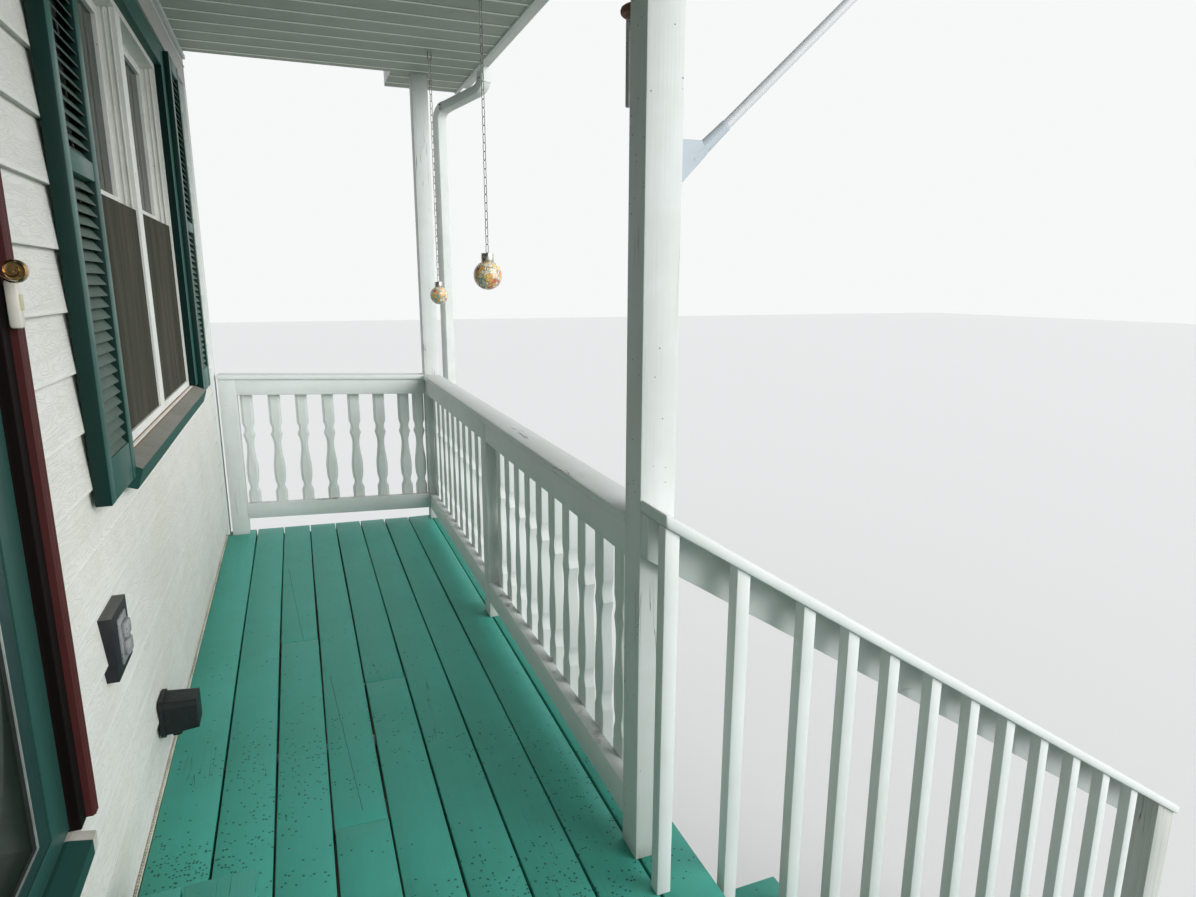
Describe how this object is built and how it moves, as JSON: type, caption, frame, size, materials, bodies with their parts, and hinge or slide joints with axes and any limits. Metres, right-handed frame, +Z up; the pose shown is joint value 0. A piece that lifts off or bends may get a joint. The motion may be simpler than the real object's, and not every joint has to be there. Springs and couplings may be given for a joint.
{
  "type": "front porch",
  "caption": "Covered wooden front porch with railed deck, louvred shutters, twin window, hinged storm door, stairs, roof and gutter along a stretch of sided house wall",
  "frame": {"origin": "Middle of the bounding box's base, on the ground", "axes": "+X points from the house wall out over the deck to the foot of the stairs, +Y along the porch to its far end, +Z up"},
  "size_m": [3.3152, 6.642, 4.5956],
  "materials": {
    "foundation": "poured concrete",
    "wall_far": "off-white lap siding",
    "wall_near": "off-white lap siding",
    "wall_over_door": "off-white lap siding",
    "wall_under_door": "off-white lap siding",
    "frieze_board": "painted",
    "corner_boards": "white paint",
    "window_casing": "dark green paint",
    "window_sill": "weathered paint",
    "window_frame": "white",
    "window_glass": "clear",
    "window_screens": "woven screen",
    "shutters": "dark green paint",
    "door_moulding": "burgundy paint",
    "door_jambs": "dark brown",
    "storm_door": "green",
    "door_glass": "clear",
    "door_lever": "polished",
    "hinge_pins": "satin",
    "deck_boards": "green deck stain",
    "deck_rims": "weathered",
    "deck_joists": "weathered",
    "deck_beam": "weathered",
    "deck_piers": "weathered",
    "door_step": "green deck stain",
    "roof_posts": "white paint",
    "mid_post": "white paint",
    "wall_posts": "white paint",
    "front_panel_corner": "white paint",
    "front_panel_stairs": "white paint",
    "front_panel_near": "white paint",
    "end_panel_far": "white paint",
    "end_panel_near": "white paint",
    "level_caps": "white paint",
    "stair_rails": "white paint",
    "stair_newels": "white paint",
    "stair_pickets": "white paint",
    "stair_caps": "white paint",
    "stair_stringers": "white paint",
    "stair_treads": "green deck stain",
    "ceiling": "grooved, white paint",
    "fascia": "white paint",
    "header_beam": "sawn",
    "roof": "grey shingles",
    "gutter": "white",
    "downspout": "white",
    "outlet_block": "dark slate",
    "weather_box": "black",
    "doorbell": "ivory",
    "flag_pole": "white",
    "lanterns": "mosaic",
    "wind_chime": "aluminium tubes"
  },
  "bodies": {
    "porch": {"foundation": "foundation", "wall_far": "wall_far", "wall_near": "wall_near", "wall_over_door": "wall_over_door", "wall_under_door": "wall_under_door", "frieze_board": "frieze_board", "corner_boards": "corner_boards", "window_casing": "window_casing", "window_sill": "window_sill", "window_frame": "window_frame", "window_glass": "window_glass", "window_screens": "window_screens", "shutters": "shutters", "door_moulding": "door_moulding", "door_jambs": "door_jambs", "hinge_pins": "hinge_pins", "deck_boards": "deck_boards", "deck_rims": "deck_rims", "deck_joists": "deck_joists", "deck_beam": "deck_beam", "deck_piers": "deck_piers", "door_step": "door_step", "roof_posts": "roof_posts", "mid_post": "mid_post", "wall_posts": "wall_posts", "front_panel_corner": "front_panel_corner", "front_panel_stairs": "front_panel_stairs", "front_panel_near": "front_panel_near", "end_panel_far": "end_panel_far", "end_panel_near": "end_panel_near", "level_caps": "level_caps", "stair_rails": "stair_rails", "stair_newels": "stair_newels", "stair_pickets": "stair_pickets", "stair_caps": "stair_caps", "stair_stringers": "stair_stringers", "stair_treads": "stair_treads", "ceiling": "ceiling", "fascia": "fascia", "header_beam": "header_beam", "roof": "roof", "gutter": "gutter", "downspout": "downspout", "outlet_block": "outlet_block", "weather_box": "weather_box", "doorbell": "doorbell", "flag_pole": "flag_pole", "lanterns": "lanterns", "wind_chime": "wind_chime"},
    "storm_door": {"storm_door": "storm_door", "door_glass": "door_glass", "door_lever": "door_lever"}
  },
  "joints": [
    {"name": "storm_door_hinge", "type": "hinge", "parent": "porch", "child": "storm_door", "pos_m": [-1.5136, -1.112, 1.684], "axis": [0, 0, -1], "range_deg": [0, 90]}
  ]
}
